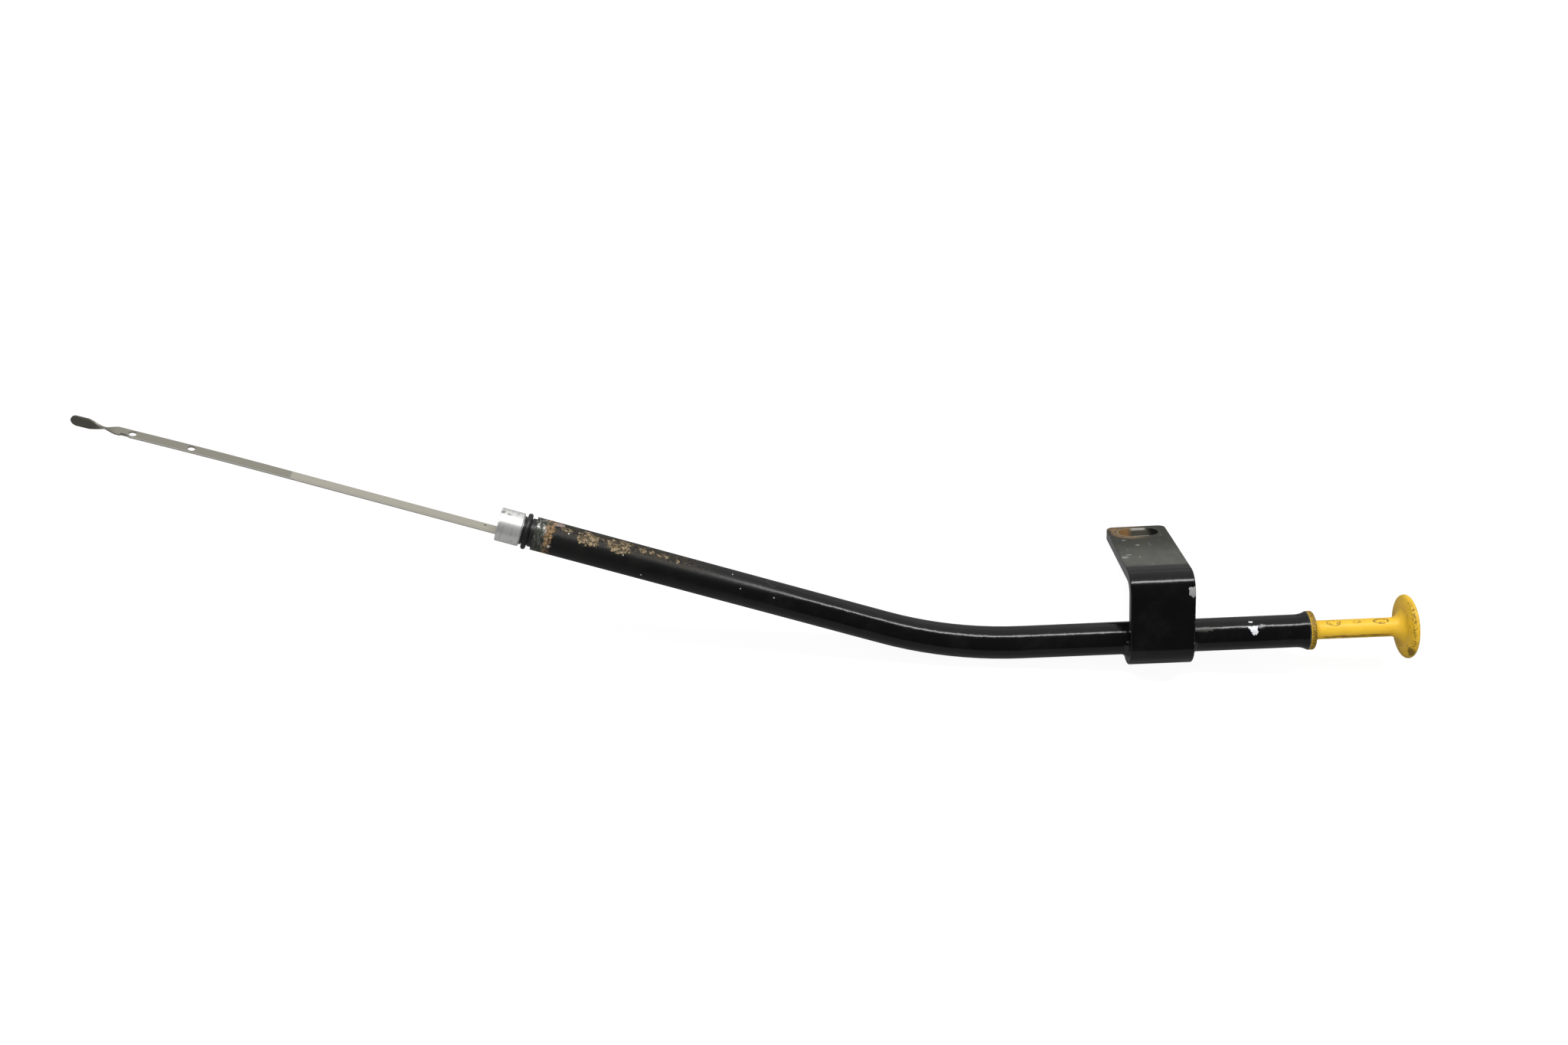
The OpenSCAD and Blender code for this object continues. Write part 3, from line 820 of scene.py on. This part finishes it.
class DIPSTICK_OT_blade(bpy.types.Operator):
    """Spring steel of the blade, drawn lengthwise, with an oil film that darkens to the tip, painted
    highlights along both edges and a painted shade line inside one
    """

    bl_idname = "dipstick.blade"
    bl_label = "Blade"

    # Places along the lower leg: the oil's level line, the film beyond it, the dark tip, and the flat's end.
    level_line, film_span, tip_span, flat_end = (242.5, 243.7), (250, 330), (304.5, 309.5), (296, 300)
    # Places across the blade: the painted shade line beside one edge, and where the painted highlights on
    # both edges begin.
    groove, edge_start = (-1.55, -1.35), (1.75, 1.95)

    # Centre and radii of the pits and dents.
    pits = (
        ((174.6, 0.8, 2.8), (0.8, 0.4, 1)),
        ((298.0, -1.3, 3.8), (1.8, 0.35, 2)),
    )

    def execute(self, context):
        steel = Finish("blade steel")
        marks = steel.marks
        at = steel.place(LOWER_LEG)
        x, y = steel.split(at)[:2]
        lines = steel.noise(at, 0.28, 4, 0.6, (45, 1, 1))
        cloud = steel.noise(at, 4, 4, 0.6, (3, 1, 1))

        dipped = steel.ramp(steel.add(x, steel.times(cloud, 2.0)), *self.level_line)
        grown = steel.ramp(steel.add(x, steel.times(cloud, 20)), *self.film_span, 0.02, 0.08)
        film = steel.add(steel.times(dipped, 0.44), grown)
        tip = steel.ramp(steel.add(x, steel.times(cloud, 3)), *self.tip_span, 0, 0.90)
        base = steel.tint(steel.most(film, tip), steel.colours.blade, steel.colours.film)
        base = steel.tint(steel.ramp(lines, 0.56, 0.70, 0, 0.35), base, marks.drawing)

        # On the flat part: painted shade in a line beside one edge, and painted highlights along both edges.
        flat = steel.ramp(x, *self.flat_end, 1, 0)
        groove = steel.band(y, *self.groove, 0.08)
        base = steel.tint(steel.times(groove, flat, 0.45), base, marks.groove)
        start, full = self.edge_start
        edge = steel.most(steel.ramp(y, -full, -start, 1, 0), steel.ramp(y, start, full))
        base = steel.tint(steel.times(edge, flat, 0.6), base, marks.blade_edge)
        pits = [steel.patch(at, centre, radii, 0.4, 0.3) for centre, radii in self.pits]
        steel.set(
            base_color=steel.tint(steel.most(*pits, steel.specks(at, 2.6, 0.05, 0.22)), base, marks.pit),
            metallic=steel.blend(film, 0.62, 0.45),
            roughness=steel.blend(lines, 0.34, 0.52),
            normal=steel.bump(lines, 0.015, 0.6),
        )
        steel.dress("blade")
        return {"FINISHED"}


class DIPSTICK_OT_handle(bpy.types.Operator):
    """Yellow moulded plastic of the handle, with ejector marks, a parting line, oily dirt and painted shade
    where it meets the mouth
    """

    bl_idname = "dipstick.handle"
    bl_label = "Handle"

    # Place along the stem, half length, half width and strength of each ejector mark.
    ejectors = (
        (138.0, 2.5, 1.4, 0.75),
        (146.2, 1.4, 0.7, 0.6),
        (154.6, 2.6, 1.2, 1.0),
    )
    # From its middle out, in the mark's own radii: the dirty ring, the blots inside it, and the mark's wall.
    mark_ring, mark_blots, mark_wall = (0.86, 1.06), (0.45, 1.05), (0.85, 1.05)
    stem_top = (1.6, 2.2)
    # Along the collar: the dirty run, and the painted shade where it meets the mouth.
    collar_run, seam_run = (MOUTH + 0.32, MOUTH + 2.3), (MOUTH - 0.4, MOUTH + 0.05)
    # The knob's rim: where it is cracked, pitted and soiled, and the stain's centre and radii.
    cracked_rim, pitted_rim, soiled_rim = (162.8, 163.9), (162.0, 165.0), (161.0, 166.5)
    rim_stain = (162.9, -10.5, -3.2), (2.4, 3.0, 3.6)
    # The stem: the run and the facing of its parting line, and where it is faintly soiled.
    parting_run = (134.5, 157.5)
    parting_side = (0, -0.977, -0.215)
    soiled_run = (133, 160)

    def execute(self, context):
        plastic = Finish("yellow plastic")
        colours = plastic.colours
        at = plastic.place(UPPER_LEG)
        x = plastic.split(at)[0]
        cloud = plastic.noise(at, 5, 4, 0.6)
        base = plastic.tint(plastic.ramp(cloud, 0.35, 0.75, 0, 0.30), colours.plastic, colours.plastic_deep)
        marks, recess = self.ejector_marks(plastic, at)
        collar, rim, under = self.collar(plastic, at, x), self.rim(plastic, at), self.under(plastic, at, x)
        soil = plastic.most(collar, rim, under, marks)
        soil = plastic.math("MULTIPLY", soil, 0.7 + 0.5 * plastic.wear.soil, clamp=True)
        fine = plastic.noise(at, 0.5, 3, 0.6)
        plastic.set(
            base_color=plastic.tint(soil, base, colours.soil),
            roughness=plastic.blend(soil, plastic.blend(cloud, 0.34, 0.48), 0.62),
            normal=plastic.bump(recess, 0.12, 1.0, plastic.bump(fine, 0.02, 0.4)),
            specular_ior_level=0.4,
            subsurface_weight=0.12,
            subsurface_radius=(1.0, 0.6, 0.15),
            subsurface_scale=0.9 * MM,
        )
        plastic.dress("handle")
        return {"FINISHED"}

    def ejector_marks(self, plastic, at):
        """Soiled rims of the ejector marks on top of the stem, and their depth."""
        x, y, z = plastic.split(at)
        top = plastic.ramp(z, *self.stem_top)
        wobble = plastic.waver(at, 0.8, 0.16, 3.0, 0.55)
        broken = plastic.ramp(plastic.noise(at, 1.3, 3, 0.6), 0.34, 0.52)
        blotch = plastic.ramp(plastic.noise(at, 0.9, 4, 0.7), 0.50, 0.58)
        marks, recess = 0.0, 0.0
        for centre, half_length, half_width, strength in self.ejectors:
            across = plastic.times(plastic.add(y, 0.25), 1 / half_width)
            along = plastic.times(plastic.less(x, centre), 1 / half_length)
            away = plastic.add(plastic.vector("LENGTH", plastic.join(along, across, 0.0)), wobble)
            ring = plastic.times(plastic.band(away, *self.mark_ring, 0.12), broken)
            blots = plastic.times(plastic.band(away, *self.mark_blots, 0.2), blotch)
            marks = plastic.most(marks, plastic.times(plastic.most(ring, blots), top, strength))
            recess = plastic.add(recess, plastic.times(plastic.ramp(away, *self.mark_wall, 1, 0), top))
        return marks, plastic.less(1.0, recess)

    def collar(self, plastic, at, x):
        """Dirt all over the collar, and painted shade in the seam at the mouth, with a clean line between
        them.
        """
        zone = plastic.band(x, *self.collar_run, 0.14)
        grit = plastic.ramp(plastic.noise(at, 0.42, 4, 0.75), 0.36, 0.58)
        # Painted shade in the seam where the plug enters the mouth.
        seam = plastic.times(plastic.band(x, *self.seam_run, 0.1), 0.9)
        return plastic.most(plastic.times(zone, plastic.blend(grit, 0.38, 0.95)), seam)

    def rim(self, plastic, at):
        """Cracks and pits full of dirt on the knob's rim, and the stain at its lower front."""
        x, y = plastic.split(at)[:2]
        front = plastic.ramp(y, -1.0, 2.0, 1, 0)
        fine = plastic.noise(at, 0.8, 5, 0.8)
        crack = plastic.times(plastic.band(x, *self.cracked_rim, 0.25), plastic.ramp(fine, 0.48, 0.54))
        pits = plastic.times(plastic.band(x, *self.pitted_rim, 0.5), plastic.ramp(fine, 0.57, 0.62))
        cloud = plastic.times(plastic.noise(at, 0.9, 4, 0.7), 0.5)
        stain = plastic.ramp(plastic.add(plastic.spot(at, *self.rim_stain), cloud), 0.45, 0.90)
        belt = plastic.band(x, *self.soiled_rim, 1.0)
        film = plastic.times(belt, plastic.ramp(plastic.noise(at, 2.5, 4, 0.7), 0.45, 0.75), 0.10)
        return plastic.most(
            plastic.times(front, plastic.most(crack, pits), 0.75), plastic.times(stain, 0.8), film
        )

    def under(self, plastic, at, x):
        """Dirt along the parting line at the stem's lower front, and a faint soiling all over."""
        facing = plastic.facing(at, self.parting_side, STEM_RADIUS)
        line = plastic.times(plastic.ramp(facing, 0.965, 0.995), plastic.band(x, *self.parting_run, 1.5))
        broken = plastic.ramp(plastic.noise(at, 1.2, 4, 0.7, (4, 1, 1)), 0.38, 0.58)
        faint = plastic.times(plastic.ramp(plastic.noise(at, 1.0, 4, 0.7), 0.60, 0.70), 0.18)
        return plastic.most(
            plastic.times(line, broken, 0.75), plastic.times(faint, plastic.band(x, *self.soiled_run, 2))
        )


class DIPSTICK_OT_stage(bpy.types.Operator):
    """Camera at the viewing place, pale floor, and soft studio light"""

    bl_idname = "dipstick.stage"
    bl_label = "Stage"

    # The camera's place in metres and its turn in degrees, found from the strap's corners and both legs.
    camera_place = (0.0282593, -0.2806104, 0.4530667)
    camera_turn = (33.98524, -0.30537, 5.16237)
    sensor_width = 36

    # Place, point aimed at, width and depth of each lamp, in metres.
    strip = (0.0, 0.24, 1.10), (0.02, 0.0, 0.02), 1.7, 0.16
    soft_box = (-0.35, -1.3, 0.75), (0.0, 0.0, 0.02), 0.9, 0.9
    floor_reach = 3

    def execute(self, context):
        stage = context.scene.dipstick_stage
        self.camera(context, stage)
        self.floor(context, stage)
        self.lamp(context, "overhead strip", stage.key, *self.strip)
        soft = self.lamp(context, "camera side", stage.side, *self.soft_box)
        soft.visible_glossy = False
        self.world(context, stage)
        context.scene.view_settings.view_transform = "Standard"
        return {"FINISHED"}

    def camera(self, context, stage):
        data = bpy.data.cameras.new("camera")
        data.lens = stage.lens
        data.sensor_width = self.sensor_width
        data.clip_start, data.clip_end = 0.01, 20
        camera = bpy.data.objects.new("camera", data)
        camera.location = self.camera_place
        camera.rotation_euler = [math.radians(a) for a in self.camera_turn]
        context.scene.collection.objects.link(camera)
        context.scene.camera = camera

    def lamp(self, context, name, energy, place, target, width, depth):
        data = bpy.data.lights.new(name, "AREA")
        data.shape = "RECTANGLE"
        data.size, data.size_y = width, depth
        data.energy = energy
        lamp = bpy.data.objects.new(name, data)
        lamp.location = place
        lamp.rotation_euler = (Vector(target) - Vector(place)).to_track_quat("-Z", "Y").to_euler()
        context.scene.collection.objects.link(lamp)
        return lamp

    def floor(self, context, stage):
        """A pale floor that shows white to camera, gloss and glass, and keeps the part's shadow."""
        mesh = bmesh.new()
        bmesh.ops.create_grid(mesh, x_segments=1, y_segments=1, size=self.floor_reach)
        data = bpy.data.meshes.new("floor")
        mesh.to_mesh(data)
        mesh.free()
        floor = bpy.data.objects.new("floor", data)
        context.scene.collection.objects.link(floor)
        finish = Finish("floor")
        path = finish.node("LightPath").outputs
        in_gloss = finish.times(path["Is Glossy Ray"], stage.floor_gloss)
        seen = finish.most(path["Is Camera Ray"], in_gloss, path["Is Transmission Ray"])
        finish.set(
            base_color=stage.floor,
            roughness=1.0,
            specular_ior_level=0.0,
            emission_color=(1, 1, 1, 1),
            emission_strength=finish.times(seen, stage.floor_glow),
        )
        data.materials.append(finish.material)

    def world(self, context, stage):
        """Even fill for matt surfaces; gloss sees a pale backdrop behind the part and a dim room in front."""
        world = bpy.data.worlds.new("studio")
        context.scene.world = world
        world.use_nodes = True
        tree = world.node_tree
        tree.nodes.clear()
        new, link = tree.nodes.new, tree.links.new
        output = new("ShaderNodeOutputWorld")
        background = new("ShaderNodeBackground")
        background.inputs["Color"].default_value = (1, 1, 1, 1)
        link(background.outputs[0], output.inputs[0])
        direction = new("ShaderNodeTexCoord")
        parts = new("ShaderNodeSeparateXYZ")
        link(direction.outputs["Generated"], parts.inputs[0])
        room = new("ShaderNodeMapRange")
        room.interpolation_type = "SMOOTHSTEP"
        link(parts.outputs["Y"], room.inputs["Value"])
        span = {"From Min": 0.0, "From Max": 0.45, "To Min": stage.room, "To Max": stage.backdrop}
        for name, value in span.items():
            room.inputs[name].default_value = value
        path = new("ShaderNodeLightPath")
        level = new("ShaderNodeMix")
        link(path.outputs["Is Glossy Ray"], level.inputs[0])
        level.inputs[2].default_value = stage.fill
        link(room.outputs[0], level.inputs[3])
        seen = new("ShaderNodeMath")
        seen.operation = "MAXIMUM"
        link(level.outputs[0], seen.inputs[0])
        link(path.outputs["Is Camera Ray"], seen.inputs[1])
        link(seen.outputs[0], background.inputs["Strength"])


OPERATORS = (
    DIPSTICK_OT_stage,
    DIPSTICK_OT_guide_tube,
    DIPSTICK_OT_bracket,
    DIPSTICK_OT_braze_beads,
    DIPSTICK_OT_end_fitting,
    DIPSTICK_OT_seals,
    DIPSTICK_OT_blade,
    DIPSTICK_OT_handle,
)

# Each group's name on the scene, its title in the panel, and its class.
GROUPS = (
    ("dipstick_colours", "Colours", DipstickColours),
    ("dipstick_marks", "Marks", DipstickMarks),
    ("dipstick_wear", "Wear", DipstickWear),
    ("dipstick_beads", "Braze beads", DipstickBeads),
    ("dipstick_stage", "Stage", DipstickStage),
)


class DIPSTICK_PT_panel(bpy.types.Panel):
    bl_idname = "DIPSTICK_PT_panel"
    bl_label = "Engine oil dipstick"
    bl_space_type = "VIEW_3D"
    bl_region_type = "UI"
    bl_category = "Dipstick"

    def draw(self, context):
        for name, title, kind in GROUPS:
            box = self.layout.box()
            box.label(text=title)
            for value in kind.__annotations__:
                box.prop(getattr(context.scene, name), value)
        for operator in OPERATORS:
            self.layout.operator(operator.bl_idname)


def register():
    for name, title, kind in GROUPS:
        bpy.utils.register_class(kind)
        setattr(bpy.types.Scene, name, PointerProperty(type=kind))
    for kind in (*OPERATORS, DIPSTICK_PT_panel):
        bpy.utils.register_class(kind)


def unregister():
    for kind in (DIPSTICK_PT_panel, *reversed(OPERATORS)):
        bpy.utils.unregister_class(kind)
    for name, title, kind in reversed(GROUPS):
        delattr(bpy.types.Scene, name)
        bpy.utils.unregister_class(kind)


def main():
    register()
    for operator in OPERATORS:
        group, name = operator.bl_idname.split(".")
        getattr(getattr(bpy.ops, group), name)()


if __name__ == "__main__":
    main()
